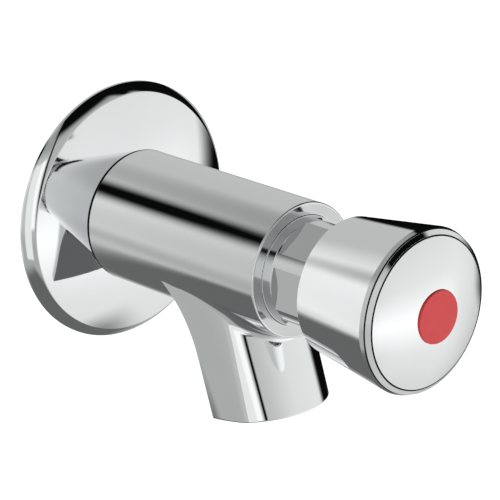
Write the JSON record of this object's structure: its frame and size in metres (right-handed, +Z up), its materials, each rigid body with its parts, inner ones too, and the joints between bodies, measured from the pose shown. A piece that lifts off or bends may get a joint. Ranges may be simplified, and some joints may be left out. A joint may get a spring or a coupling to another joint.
{
  "type": "push timed tap",
  "caption": "Wall-mounted chrome push tap: a round flange, a barrel with a down-turned spout and a flared push button that starts a timed, self-closing flow.",
  "frame": {"origin": "on the inlet axis, in the plane of the wall that the flange rests on", "axes": "+Y along the inlet axis into the wall, -Y out to the button, +Z up, +X to the right of someone facing the tap"},
  "size_m": [0.0634, 0.1181, 0.0686],
  "materials": {
    "body_chrome": "polished chrome plate",
    "flange_chrome": "polished chrome plate",
    "bonnet_chrome": "polished chrome plate",
    "button_chrome": "polished chrome plate",
    "outlet_chrome": "polished chrome plate",
    "brass": "machined brass",
    "steel": "machined stainless steel",
    "rubber": "moulded black rubber",
    "acetal": "moulded white acetal",
    "regulator_plastic": "moulded plastic",
    "indicator_red": "red moulded plastic"
  },
  "bodies": {
    "tap": {"tap_body": "body_chrome", "wall_flange": "flange_chrome", "flange_gasket": "rubber", "inlet_tail": "brass", "inlet_strainer": "steel", "flow_regulator": "regulator_plastic", "regulator_oring": "rubber", "cartridge_sleeve": "brass", "sleeve_rear_oring": "rubber", "sleeve_front_oring": "rubber", "bonnet": "bonnet_chrome", "bonnet_oring": "rubber", "spindle_bush": "acetal", "spindle_seal": "rubber", "return_spring": "steel", "outlet_ring": "outlet_chrome", "flow_straightener": "acetal", "outlet_seal": "rubber"},
    "button": {"push_button": "button_chrome", "glide_ring": "acetal", "button_screw": "steel", "indicator_disc": "indicator_red", "spindle": "steel", "piston": "acetal", "piston_cup_seal": "rubber", "bleed_jet": "brass", "piston_circlip": "steel", "valve_disc": "brass", "seat_washer": "rubber", "valve_nut": "brass"}
  },
  "joints": [
    {"name": "button_press", "type": "slide", "parent": "tap", "child": "button", "axis": [0, 1, 0], "range_m": [0, 0.007], "stiffness_N_per_m": 1500, "springref_m": -0.008, "deforming": ["return_spring"]}
  ]
}
